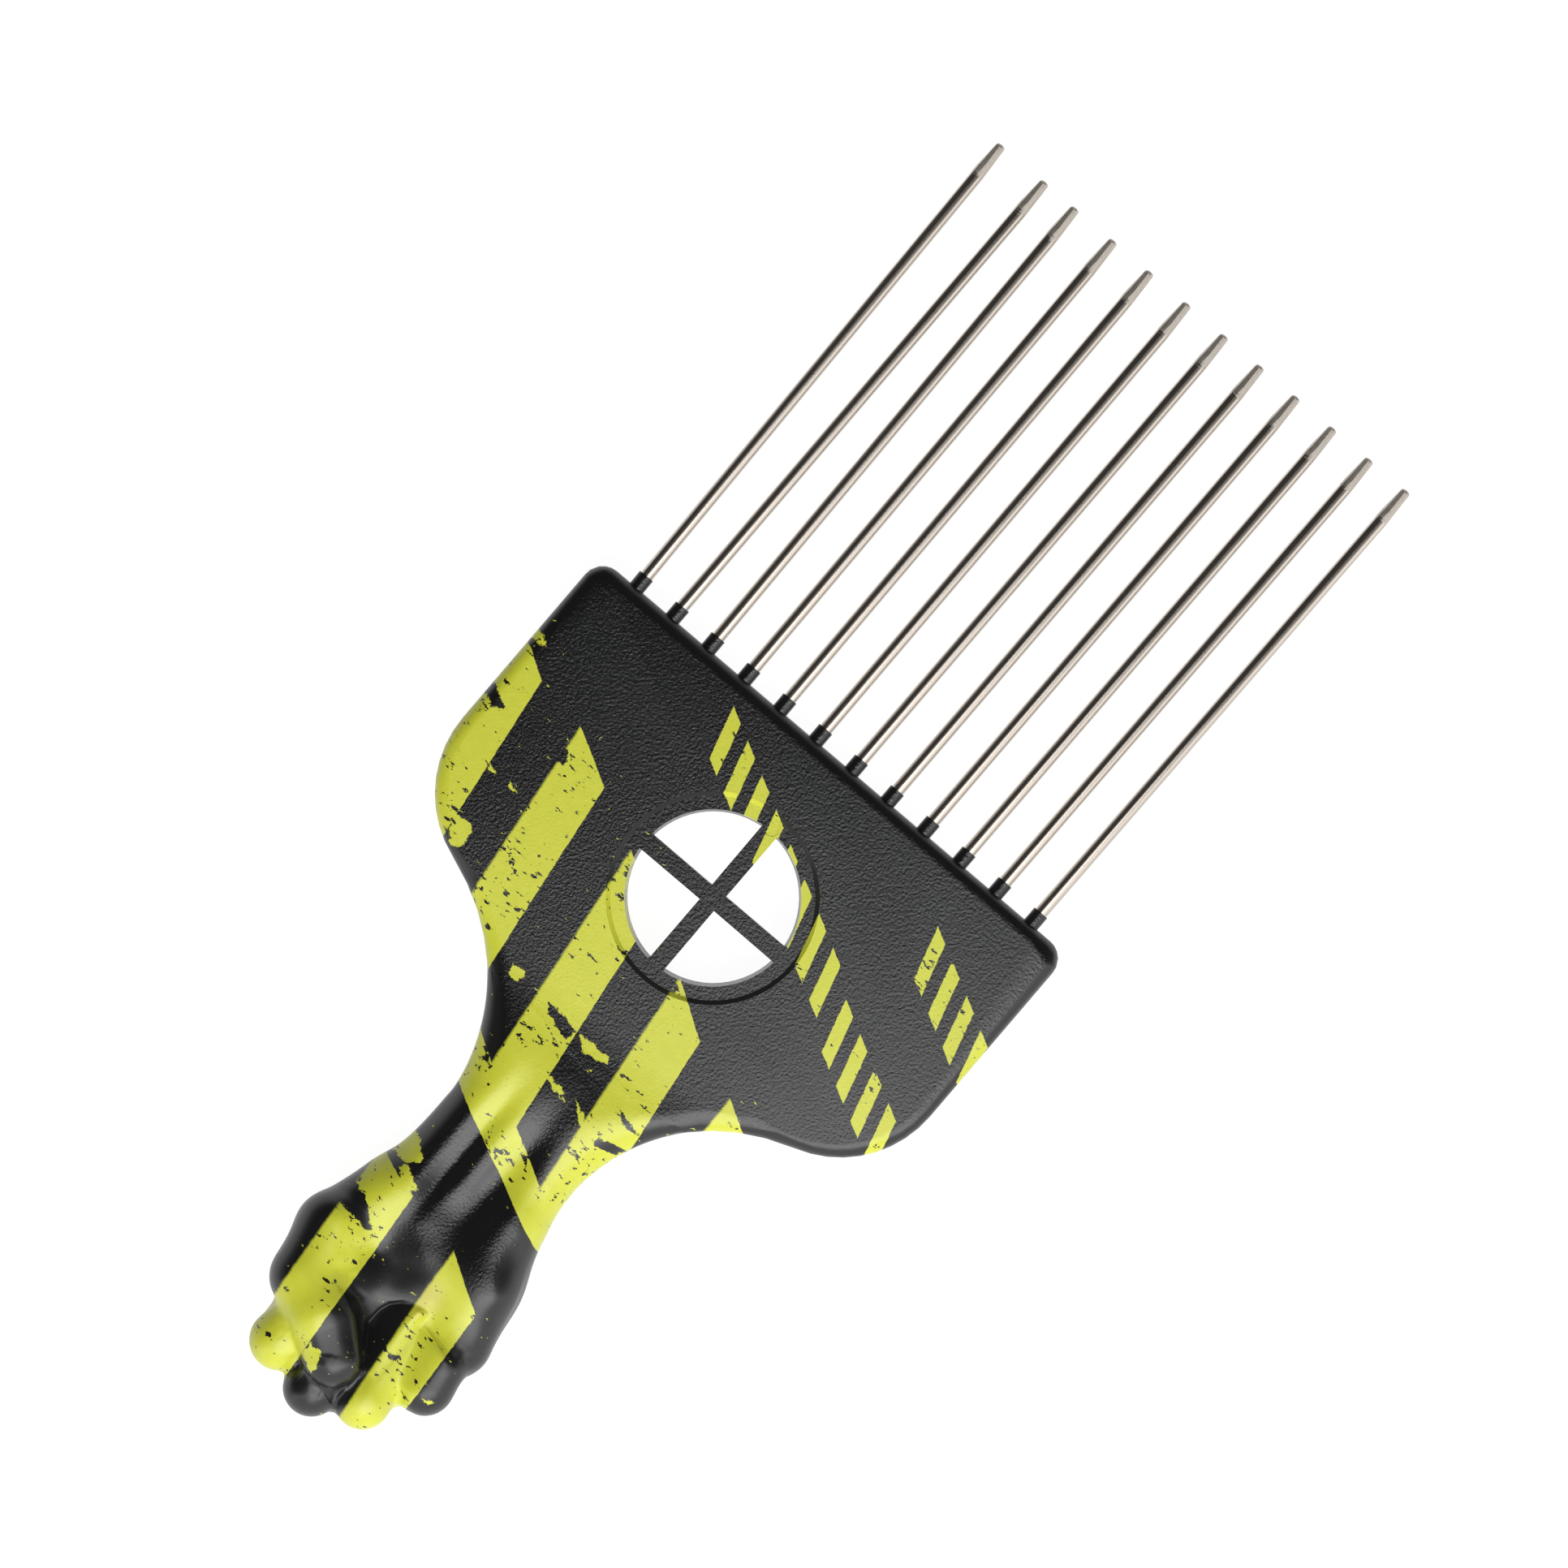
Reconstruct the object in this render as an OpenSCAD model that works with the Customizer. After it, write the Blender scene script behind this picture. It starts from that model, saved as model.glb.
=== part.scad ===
// Afro pick: twelve steel teeth moulded into a flat plate whose handle is a raised fist.
// It lies on its back, teeth towards +Y and palm side up, centred over the surface it lies on.

/* [Teeth] */
// Diameter of the steel wire
tooth_d = 1.7; // [1.4:0.05:1.9]
// Length of a tooth beyond the plate
tooth_reach = 71; // [50:0.5:90]
// Length of the ground point
point_l = 5; // [2:0.5:12]
// Diameter of the blunt end
tip_d = 1.15; // [0.8:0.05:1.3]
// Length of wire held inside the plate
root_l = 8.4; // [6:0.1:9]
// Width of the locking groove turned into the root
groove_w = 1.2; // [0.6:0.1:2]
// Depth of the locking groove
groove_depth = 0.25; // [0.1:0.05:0.4]
// Gap all round between a root and its socket
root_clearance = 0.01; // [0.005:0.005:0.05]

/* [Collars] */
// Diameter of the collar moulded round each tooth
collar_d = 2.1; // [2:0.05:2.8]
// Height of a collar above the plate's edge
collar_h = 1.9; // [1:0.1:4]

/* [Plate] */
// Width of the plate
plate_w = 76; // [72:0.5:84]
// Distance from the plate's sides to the middle of the outermost teeth
side_margin = 5.935; // [4:0.005:8]
// Thickness of the plate
plate_t = 5; // [4.4:0.1:6]
// Radius of the two corners beside the teeth
corner_r = 2.8; // [2.2:0.1:6]
// Radius of the rounding along the plate's edge
edge_r = 2; // [1:0.1:2.1]
// Length of the plate's straight sides
side_l = 26.1; // [24:0.1:34]
// Radius of the hips, where the sides turn in
hip_r = 14.6; // [10:0.1:17]
// Angle that the hips turn through
hip_turn = 72; // [60:1:74]
// Length of the neck from the hips to the wrist
neck_l = 22; // [20:0.1:30]

/* [Window] */
// Distance from the tooth edge to the middle of the window
window_y = 23; // [22.5:0.1:24]
// Diameter of the window
window_d = 21.3; // [16:0.1:22]
// Diameter of the shallow recess round the window
recess_d = 25.3; // [24:0.1:26]
// Depth of the recess on either face
recess_depth = 0.55; // [0.3:0.05:1]
// Width of the two bars that cross in the window
bar_w = 2.3; // [1.5:0.1:4]
// Diameter of the ejector pin marks at the ends of the bars
pin_mark_d = 1.9; // [1:0.1:2.2]
// Depth of the ejector pin marks
pin_mark_depth = 0.08; // [0.04:0.01:0.2]

/* [Wrist and fist] */
// Width of the wrist
wrist_w = 19.7; // [17:0.1:23]
// Thickness of the wrist
wrist_t = 10.8; // [9:0.1:14]
// How far the wrist's middle lies to the right of the plate's middle
wrist_shift = 0.7; // [0:0.1:1.5]
// Width of the fist
fist_w = 29.5; // [26:0.5:33]
// Length from the wrist to the knuckles
fist_l = 42.2; // [38:0.1:48]
// Thickness that sets the heights of the thumb, fingers and knuckles
fist_t = 19.5; // [17:0.5:22]
// Depth of the hollows between the tendons of the wrist
tendon_depth = 0.45; // [0:0.05:0.8]

/* [Hidden] */
$fn = 48;

tooth_count = 12;
// Distance from one tooth to the next
tooth_pitch = (plate_w - 2 * side_margin) / (tooth_count - 1);
// How far each tooth leans towards +X, in degrees
tooth_leans = [-1, 0, -0.7, -0.4, -0.3, -0.1, 0.1, 0.1, 0.1, 0.2, 0.3, 0.4];
// Cuts run past the faces that they open by this much
overrun = 1;
// Lengths below this count as none
tiny = 0.0001;

// Where the parts of the handle lie, measured along Y from the plate's tooth edge
hip_y = -side_l;
neck_y = hip_y - hip_r * sin(hip_turn);
wrist_y = neck_y - neck_l;
knuckle_y = wrist_y - fist_l;

// The part's origin: the middle of the whole length, level with the back of the fist
middle_y = (tooth_reach + knuckle_y) / 2;
back_share = 0.4386;
back_z = back_share * fist_t;

// The skin of the handle is a grid of rows along it and columns round it
columns = 80;
half_columns = columns / 2;
column_turn = 360 / columns;
hip_rows = 9;
neck_rows = 13;
palm_rows = 26;
knuckle_rows = 20;
search_steps = 9;

// How far in from an edge the columns and rows of its rounding lie, as shares of its radius
rounding_shares = [0, 0.06, 0.22, 0.5, 1];
edge_columns = len(rounding_shares);

// The fist is a soft union of tapered limbs. Each end of a limb is [x, y, z, radius]: x and radius
// are shares of the fist's width, y of its length from the wrist and z of its thickness.
palm_shares = [
    [[-0.01, 0.31, -0.06, 0.29], [0.03, 0.64, -0.124, 0.347], 1.9],
    [[-0.1, 0.32, 0.03, 0.135], [0, 0.5, 0.12, 0.1], 1],
    [[-0.135, 0.235, -0.07, 0.115], [-0.21, 0.785, -0.225, 0.12], 1],
    [[-0.03, 0.235, -0.07, 0.115], [0.03, 0.845, -0.243, 0.12], 1],
    [[0.07, 0.235, -0.07, 0.115], [0.225, 0.79, -0.225, 0.115], 1],
    [[0.165, 0.235, -0.06, 0.115], [0.37, 0.67, -0.185, 0.115], 1],
    [[-0.235, 0.36, 0.02, 0.165], [-0.335, 0.535, 0.145, 0.155], 1],
    [[0.195, 0.2, 0, 0.155], [0.265, 0.38, -0.01, 0.175], 1],
    [[0.265, 0.38, -0.01, 0.175], [0.37, 0.55, 0.06, 0.145], 1],
    [[-0.145, 0.58, 0.155, 0.095], [0.12, 0.525, 0.13, 0.075], 1],
    [[-0.13, 0.65, 0.17, 0.125], [0.04, 0.79, 0.17, 0.125], 1],
    [[-0.165, 0.82, 0.075, 0.125], [0.075, 0.835, 0.075, 0.145], 1],
    [[0.075, 0.835, 0.075, 0.145], [0.3, 0.72, 0.06, 0.12], 1]
];
finger_shares = [
    [[-0.205, 0.8, -0.215, 0.125], [-0.2, 0.872, 0.225, 0.122], 1],
    [[0.028, 0.865, -0.235, 0.125], [0.03, 0.9175, 0.235, 0.115], 1],
    [[0.225, 0.8, -0.215, 0.12], [0.226, 0.85, 0.225, 0.115], 1],
    [[0.38, 0.68, -0.175, 0.115], [0.385, 0.702, 0.165, 0.119], 1],
    [[-0.2, 0.868, 0.225, 0.122], [-0.18, 0.67, 0.255, 0.115], 1],
    [[0.03, 0.9115, 0.235, 0.115], [0.07, 0.67, 0.09, 0.1], 1],
    [[-0.09, 0.82, 0.1, 0.1], [-0.09, 0.852, 0.19, 0.1], 1],
    [[0.226, 0.846, 0.225, 0.115], [0.21, 0.6, 0.12, 0.092], 1],
    [[0.385, 0.702, 0.175, 0.119], [0.37, 0.625, 0.17, 0.12], 1]
];
thumb_shares = [
    [[-0.335, 0.52, 0.185, 0.155], [-0.284, 0.675, 0.26, 0.153], 1],
    [[-0.284, 0.675, 0.26, 0.153], [-0.13, 0.73, 0.345, 0.143], 1],
    [[-0.13, 0.73, 0.345, 0.143], [0.013, 0.8, 0.365, 0.127], 1]
];
// How softly the limbs run into each other, as shares of the fist's width
palm_blend_share = 0.04;
finger_blend_share = 0.009;
// Where the rays that find the skin start to fan out over the knuckles, and from what height
fan_y_share = 0.67;
fan_z_share = 0.03;
// Hollows between the tendons: [middle, half width, depth], shares of wrist_w and tendon_depth
tendon_shares = [[0, 0.22, 2], [-0.19, 0.09, 2], [0.12, 0.12, 1.8]];

function ramp(t) = let (u = min(1, max(0, t))) u * u * (3 - 2 * u);
function mix(a, b, t) = a + (b - a) * t;
function bell(t) = exp(-t * t);
function quarter(t) = sqrt(1 - (1 - t) * (1 - t));

// Plate and neck. A row is [y, left, right, stretch]: where its two ends lie and how much longer
// than its true distance a step along X from the slanted edge is.
function corner_inset(d) = corner_r - sqrt(corner_r * corner_r - pow(max(0, corner_r - d), 2));
function mouth_row(d) = [-d, corner_inset(d) - plate_w / 2, plate_w / 2 - corner_inset(d), 1];
function hip_row(a) =
    let (x = plate_w / 2 - hip_r * (1 - cos(a))) [hip_y - hip_r * sin(a), -x, x, 1 / cos(a)];
function bezier(p, q, r, s, t) =
    p * pow(1 - t, 3) + 3 * q * t * pow(1 - t, 2) + 3 * r * t * t * (1 - t) + s * pow(t, 3);
// The ends of the curve from a hip to the wrist pull it along by these shares of the neck
neck_pull_share = 0.81;
wrist_pull_share = 0.07;
neck_pull = neck_pull_share * neck_l;
wrist_pull = wrist_pull_share * neck_l;
function neck_side(t, x_wrist) =
    let (x = plate_w / 2 - hip_r * (1 - cos(hip_turn)))
    bezier([x, neck_y], [x - neck_pull * sin(hip_turn), neck_y - neck_pull * cos(hip_turn)],
        [x_wrist, wrist_y + wrist_pull], [x_wrist, wrist_y], t);
function neck_row(t) =
    let (
        right = neck_side(t, wrist_w / 2 + wrist_shift),
        left = neck_side(t, wrist_w / 2 - wrist_shift),
        step = neck_side(t + tiny, wrist_w / 2) - neck_side(t - tiny, wrist_w / 2)
    )
    [right[1], -left[0], right[0], norm(step) / max(abs(step[1]), norm(step) / 4)];

// How far a place on the plate or neck lies inside its outline
function corner_depth(x, y) =
    let (qx = abs(x) - plate_w / 2 + corner_r, qy = y + corner_r)
    corner_r - norm([max(qx, 0), max(qy, 0)]) - min(max(qx, qy), 0);
function side_depth(x, row) = min(x - row[1], row[2] - x) / row[3];
function outline_depth(x, row) =
    row[0] > hip_y ? corner_depth(x, row[0]) : side_depth(x, row);

// 0 on the plate and 1 at the wrist
function neck_part(y) = ramp((neck_y - hip_r / 4 - y) / (neck_l - hip_r / 4));
function section_height(x, row) =
    let (
        t = neck_part(row[0]),
        land = mix(plate_t / 2 - edge_r, 0, t),
        top = mix(plate_t, wrist_t, t) / 2,
        round_r = mix(edge_r, wrist_w / 2, t)
    )
    land + (top - land) * quarter(min(1, max(0, outline_depth(x, row)) / round_r));

// Columns of a row: close together over the rounded edges, then even
function even_part(j) = (j - edge_columns + 1) / (half_columns - 2 * edge_columns + 1);
function plate_x(j, row) =
    let (
        edge_w = min(mix(edge_r, 2 * edge_r, neck_part(row[0])) * row[3], (row[2] - row[1]) / 4),
        k = half_columns - 1 - j
    )
    j < edge_columns ? row[2] - edge_w * rounding_shares[j]
    : k < edge_columns ? row[1] + edge_w * rounding_shares[k]
    : mix(row[2] - edge_w, row[1] + edge_w, even_part(j));
function oval_x(j, row) =
    let (a = (j + 1 / 2) * column_turn)
    (row[1] + row[2]) / 2 + (row[2] - row[1]) / 2 * cos(a)
        / norm([cos(a), sin(a) * (row[2] - row[1]) / wrist_t]);
function section_row(row) = [
    for (j = [0 : columns - 1])
        let (
            top = j < half_columns,
            k = top ? j : columns - 1 - j,
            x = mix(plate_x(k, row), oval_x(k, row), neck_part(row[0])),
            z = section_height(x, row)
        )
        [x, row[0], top ? z - tendon_hollow(x, row[0]) * min(1, 2 * z / wrist_t) : -z]
];

// Hollows between the tendons fade in along the neck and out again in the palm
function tendon_fade(y) =
    ramp((wrist_y + neck_l / 2 - y) / (neck_l / 2)) * ramp((y - wrist_y + fist_l * 2 / 5) / (fist_l / 4));
function tendon_hollow(x, y) =
    let (u = (x - wrist_shift) / wrist_w)
    tendon_depth * tendon_fade(y)
        * ([for (s = tendon_shares) s[2] * bell((u - s[0]) / s[1])] * [for (s = tendon_shares) 1]);

// Fist. A limb is [start, end, start radius, end radius, flatness].
function limb_end(s) = [wrist_shift + s[0] * fist_w, wrist_y - s[1] * fist_l, s[2] * fist_t];
function limb(s) = [limb_end(s[0]), limb_end(s[1]), s[0][3] * fist_w, s[1][3] * fist_w, s[2]];
forearm = [
    [wrist_shift, wrist_y + neck_l, 0], [wrist_shift, wrist_y - fist_l / 4, 0],
    wrist_w / 2, wrist_w / 2, wrist_w / wrist_t
];
function limb_gap(l, p) =
    let (
        s = [1, 1, l[4]],
        along = [(l[1] - l[0])[0], (l[1] - l[0])[1], (l[1] - l[0])[2] * l[4]],
        from = [(p - l[0])[0], (p - l[0])[1], (p - l[0])[2] * l[4]],
        t = min(1, max(0, from * along / (along * along))),
        q = from - along * t,
        far = norm(q)
    )
    (far - mix(l[2], l[3], t)) * far / max(norm([q[0], q[1], q[2] * l[4]]), tiny);
function soft_least(gaps, k) =
    let (low = min(gaps))
    low - k * ln([for (g = gaps) exp((low - g) / k)] * [for (g = gaps) 1]);
function fist_gap(p, palm, digits) =
    soft_least(
        [
            soft_least([for (l = palm) limb_gap(l, p)], palm_blend_share * fist_w),
            soft_least([for (l = digits) limb_gap(l, p)], finger_blend_share * fist_w)
        ],
        finger_blend_share * fist_w
    );
// Distance along a ray to the skin, found by stepping towards it. Where the ray grazes the skin the
// gap shrinks slowly, so each step is lengthened by how slowly the last one closed the gap.
function skin_reach(from, ray, far, palm, digits) =
    let (gap = fist_gap(from + ray * far, palm, digits))
    step_to_skin(from, ray, far, gap, far - gap, search_steps, palm, digits);
function step_to_skin(from, ray, last_far, last_gap, far, steps, palm, digits) =
    let (
        gap = fist_gap(from + ray * far, palm, digits),
        slope = (gap - last_gap) / (abs(far - last_far) > tiny ? far - last_far : 1)
    )
    steps == 0 ? far
    : step_to_skin(from, ray, far, gap, far - gap / min(1.4, max(0.4, slope)), steps - 1,
        palm, digits);
function fist_row(y, z, tilt, palm, digits) = [
    for (j = [0 : columns - 1])
        let (
            a = (j + 1 / 2) * column_turn,
            from = [wrist_shift, y, z],
            ray = [cos(a) * cos(tilt), -sin(tilt), sin(a) * cos(tilt)],
            p = from + ray * skin_reach(from, ray, fist_w / 2, palm, digits)
        )
        p - [0, 0, p[2] > 0 ? tendon_hollow(p[0], p[1]) * min(1, 2 * p[2] / wrist_t) : 0]
];

// The closed skin: rows from the tooth edge to the knuckles, then one last point
module handle_skin() {
    palm = concat([forearm], [for (s = palm_shares) limb(s)]);
    digits = [for (s = concat(finger_shares, thumb_shares)) limb(s)];
    fan_y = wrist_y - fan_y_share * fist_l;
    fan_z = fan_z_share * fist_t;
    rows = [
        for (s = rounding_shares) section_row(mouth_row(s * edge_r)),
        section_row(mouth_row(corner_r)),
        for (i = [0 : hip_rows]) section_row(hip_row(hip_turn * i / hip_rows)),
        for (i = [1 : neck_rows]) section_row(neck_row(i / neck_rows)),
        for (i = [1 : palm_rows])
            fist_row(mix(wrist_y, fan_y, i / palm_rows), fan_z * i / palm_rows, 0, palm, digits),
        for (i = [1 : knuckle_rows - 1])
            fist_row(fan_y, fan_z, 90 * i / knuckle_rows, palm, digits)
    ];
    last = [
        wrist_shift,
        fan_y - skin_reach([wrist_shift, fan_y, fan_z], [0, -1, 0], fist_w / 2, palm, digits),
        fan_z
    ];
    n = len(rows);
    polyhedron(
        points = concat([for (row = rows) each row], [last]),
        faces = [
            for (j = [0 : half_columns - 2]) each [
                [j, j + 1, columns - 1 - j],
                [j + 1, columns - 2 - j, columns - 1 - j]
            ],
            for (i = [0 : n - 2], j = [0 : columns - 1])
                let (a = i * columns + j, b = i * columns + (j + 1) % columns)
                each [[a, a + columns, b], [b, a + columns, b + columns]],
            for (j = [0 : columns - 1])
                [(n - 1) * columns + j, n * columns, (n - 1) * columns + (j + 1) % columns]
        ],
        convexity = 6
    );
}

// Teeth
function tooth_x(i) = (i - (tooth_count + 1) / 2) * tooth_pitch;
function tooth_lean(i) = tooth_leans[i - 1];

module at_tooth(i) {
    translate([tooth_x(i), 0, 0]) rotate([0, 0, -tooth_lean(i)]) rotate([-90, 0, 0]) children();
}

// Half the section of the root, from its inner end to the plate's edge
function root_outline(r, end, out) = [
    [0, -end],
    [r, -end],
    [r, -(root_l + groove_w) / 2],
    [r - groove_depth, -root_l / 2],
    [r, -(root_l - groove_w) / 2],
    [r, out],
    [0, out]
];

module socket() {
    rotate_extrude()
        polygon(root_outline(tooth_d / 2 + root_clearance, root_l + root_clearance,
            collar_h + overrun));
}

module tooth(i) {
    r = tooth_d / 2;
    tip_r = tip_d / 2;
    color("silver") place() at_tooth(i) rotate_extrude() union() {
        polygon(root_outline(r, root_l, 0));
        polygon([[0, 0], [r, 0], [r, tooth_reach - point_l], [tip_r, tooth_reach - tip_r],
            [0, tooth_reach - tip_r]]);
        intersection() {
            translate([0, tooth_reach - tip_r]) circle(tip_r);
            translate([0, tooth_reach - tip_r]) square(tip_r);
        }
    }
}

// Handle
module collar() {
    translate([0, 0, -edge_r]) cylinder(h = collar_h + edge_r, d = collar_d);
}

module window_cut() {
    floor_z = plate_t / 2 - recess_depth;
    for (side = [-1, 1])
        translate([0, 0, side * (floor_z + recess_depth / 2 + overrun / 2)])
            cylinder(h = recess_depth + overrun, d = recess_d, center = true);
    difference() {
        cylinder(h = plate_t + overrun, d = window_d, center = true);
        cube([bar_w, recess_d, 2 * floor_z], center = true);
        cube([recess_d, bar_w, 2 * floor_z], center = true);
    }
    for (turn = [0, 90, 180, 270])
        rotate([0, 0, turn])
            translate([(window_d + recess_d) / 4 - pin_mark_d / 4, 0, floor_z - pin_mark_depth])
                cylinder(h = pin_mark_depth + overrun / 4, d = pin_mark_d);
}

module handle() {
    color("#2b2b2e") place() difference() {
        union() {
            handle_skin();
            for (i = [1 : tooth_count]) at_tooth(i) collar();
        }
        union() {
            for (i = [1 : tooth_count]) at_tooth(i) socket();
            translate([0, -window_y, 0]) window_cut();
        }
    }
}

module place() {
    translate([0, -middle_y, back_z]) children();
}

handle();
tooth(1);  // tooth_01
tooth(2);  // tooth_02
tooth(3);  // tooth_03
tooth(4);  // tooth_04
tooth(5);  // tooth_05
tooth(6);  // tooth_06
tooth(7);  // tooth_07
tooth(8);  // tooth_08
tooth(9);  // tooth_09
tooth(10);  // tooth_10
tooth(11);  // tooth_11
tooth(12);  // tooth_12
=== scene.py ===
import math
from functools import reduce

import bmesh
import bpy
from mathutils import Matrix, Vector


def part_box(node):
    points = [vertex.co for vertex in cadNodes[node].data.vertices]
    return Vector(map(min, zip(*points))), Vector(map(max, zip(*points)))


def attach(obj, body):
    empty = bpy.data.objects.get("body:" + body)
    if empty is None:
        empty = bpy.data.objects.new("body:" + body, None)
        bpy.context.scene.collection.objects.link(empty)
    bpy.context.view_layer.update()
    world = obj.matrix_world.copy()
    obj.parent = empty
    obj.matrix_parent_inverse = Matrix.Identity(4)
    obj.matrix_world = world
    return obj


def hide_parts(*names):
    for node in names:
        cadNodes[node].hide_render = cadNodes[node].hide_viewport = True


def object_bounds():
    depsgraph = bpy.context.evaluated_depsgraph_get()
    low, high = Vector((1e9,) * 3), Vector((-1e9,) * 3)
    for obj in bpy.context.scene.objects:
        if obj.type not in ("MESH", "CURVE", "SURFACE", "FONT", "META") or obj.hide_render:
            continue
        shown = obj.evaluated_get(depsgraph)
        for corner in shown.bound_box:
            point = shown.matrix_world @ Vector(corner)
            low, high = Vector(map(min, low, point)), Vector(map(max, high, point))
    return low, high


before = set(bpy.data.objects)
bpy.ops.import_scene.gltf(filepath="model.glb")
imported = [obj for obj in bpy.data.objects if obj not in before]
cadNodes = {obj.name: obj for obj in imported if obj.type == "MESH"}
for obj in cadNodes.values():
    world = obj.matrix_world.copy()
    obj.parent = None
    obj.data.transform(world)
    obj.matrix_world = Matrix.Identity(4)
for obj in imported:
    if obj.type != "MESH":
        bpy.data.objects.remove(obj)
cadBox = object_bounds()

noiseSpan = (0.3, 0.7)  # nearly all values of a noise texture lie between these
white = (1, 1, 1, 1)


def mm(length):
    return length / 1000


def hexColor(code):
    # sRGB hex to the linear values that the shaders take
    parts = [int(code[i:i + 2], 16) / 255 for i in (1, 3, 5)]
    return [c / 12.92 if c <= 0.04045 else ((c + 0.055) / 1.055) ** 2.4 for c in parts] + [1]


def addNode(tree, kind, inputs=None, **settings):
    # a node with its settings and inputs: an input takes a value, a socket, or a node's first output in use
    node = tree.nodes.new("ShaderNode" + kind)
    for name, value in settings.items():
        setattr(node, name, value)
    for key, value in (inputs or {}).items():
        if isinstance(value, bpy.types.Node):
            value = next(output for output in value.outputs if output.enabled)
        if isinstance(value, bpy.types.NodeSocket):
            tree.links.new(value, node.inputs[key])
        else:
            node.inputs[key].default_value = value
    return node


def fromTo(source, target=(0, 1)):
    # two spans as the inputs of a Map Range node
    return {"From Min": source[0], "From Max": source[1], "To Min": target[0], "To Max": target[1]}


def combine(tree, operation, values):
    # the values chained by one operation, such as the least of them all
    return reduce(lambda a, b: addNode(tree, "Math", {0: a, 1: b}, operation=operation), values)


def placeInMm(tree):
    place = addNode(tree, "TexCoord").outputs["Object"]
    return addNode(tree, "VectorMath", {0: place, 1: (1000, 1000, 1000)}, operation="MULTIPLY")


def newMaterial(name):
    material = bpy.data.materials.new(name)
    material.use_nodes = True
    material.node_tree.nodes.clear()
    return material, material.node_tree


def activate(thing):
    bpy.ops.object.select_all(action="DESELECT")
    thing.select_set(True)
    bpy.context.view_layer.objects.active = thing


def selectFaces(thing, wanted):
    # in edit mode: selects the faces whose middle and normal pass the test
    mesh = bmesh.from_edit_mesh(thing.data)
    for face in mesh.faces:
        face.select_set(bool(wanted(face.calc_center_median(), face.normal)))
    bmesh.update_edit_mesh(thing.data)


# Camera: straight above, turned so that the teeth point to the upper right
cameraSetup = {
    "centre": (mm(-2.45), mm(9.98), mm(11.05)),
    "height": 0.6,
    "frameWidth": mm(193.2),
    "turn": 40.5,
    "sensor": 36,
    "clipEnd": 10,
}
cameraData = bpy.data.cameras.new("productCamera")
cameraData.sensor_width = cameraSetup["sensor"]
cameraData.lens = cameraSetup["sensor"] * cameraSetup["height"] / cameraSetup["frameWidth"]
cameraData.clip_end = cameraSetup["clipEnd"]
camera = bpy.data.objects.new("productCamera", cameraData)
bpy.context.scene.collection.objects.link(camera)
camera.location = Vector(cameraSetup["centre"]) + Vector((0, 0, cameraSetup["height"]))
camera.rotation_euler = (0, 0, math.radians(cameraSetup["turn"]))
bpy.context.scene.camera = camera
print("camera placed")


# Teeth: one drawn wire with a point ground in flats, copied to each place
toothShape = {
    "wireRadius": mm(0.85),
    "sides": 32,
    "rootEnd": mm(-8.4),
    "groove": (mm(-4.8), mm(-4.2), mm(-3.6)),
    "grooveRadius": mm(0.6),
    "reach": mm(71),
    # each flat that the belt grinds: its turn round the wire, its length in mm and the radius left at the end
    "flats": ((0, 5.3, 0.56), (38, 4.6, 0.59), (80, 5.1, 0.57), (121, 5.6, 0.6), (163, 4.4, 0.56),
              (199, 5, 0.58), (241, 5.5, 0.57), (282, 4.7, 0.6), (320, 5.2, 0.56)),
    "tipShare": 0.999,  # faces above this share of the reach are the end
    "tipBevel": mm(0.36),
    "tipSteps": 4,
    "upward": 0.9,
    "sharpAngle": 14,
    "endSlice": mm(0.3),  # corners this near either end of a CAD tooth tell where its wire is
}

# Looks of the wire: places are in mm, so a pattern's scale counts its lines in a millimetre
wireLooks = {
    "wireColor": "#C1B8AE",
    "beltColor": "#CBC3B9",
    "drawLines": {"Scale": (9, 0.05, 9)},  # 0.1 mm wide and 20 mm long, as coarse as they need to be to show
    "drawNoise": {"Scale": 1, "Detail": 3},
    "beltLines": {"Scale": (1.2, 5, 1.2), "Rotation": (0, 0, 0.4)},  # 0.2 mm wide, a little aslant
    "beltNoise": {"Scale": 1, "Detail": 4},
    "groundFrom": (82.5, 83.1),  # where the points begin, along the pick
    "raggedness": 0.5,
    "wireRough": (0.22, 0.27),
    "beltRough": (0.48, 0.64),
    "beltBump": 0.5,
    "bumpHeight": mm(0.03),
}


def growEnd(height, radiusShare):
    # raises the selected end of the wire and scales it
    bpy.ops.mesh.extrude_region_move(TRANSFORM_OT_translate={"value": (0, 0, height)})
    bpy.ops.transform.resize(value=(radiusShare, radiusShare, 1))


def grindFlat(turn, length, endRadius):
    # cuts the wire along one plane that leans in towards its end
    side = Vector((math.cos(math.radians(turn)), math.sin(math.radians(turn)), 0))
    slope = math.atan2(toothShape["wireRadius"] - mm(endRadius), mm(length))
    bpy.ops.mesh.select_all(action="SELECT")
    bpy.ops.mesh.bisect(
        plane_co=side * mm(endRadius) + Vector((0, 0, toothShape["reach"])),
        plane_no=side * math.cos(slope) + Vector((0, 0, math.sin(slope))),
        use_fill=True, clear_outer=True)


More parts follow.
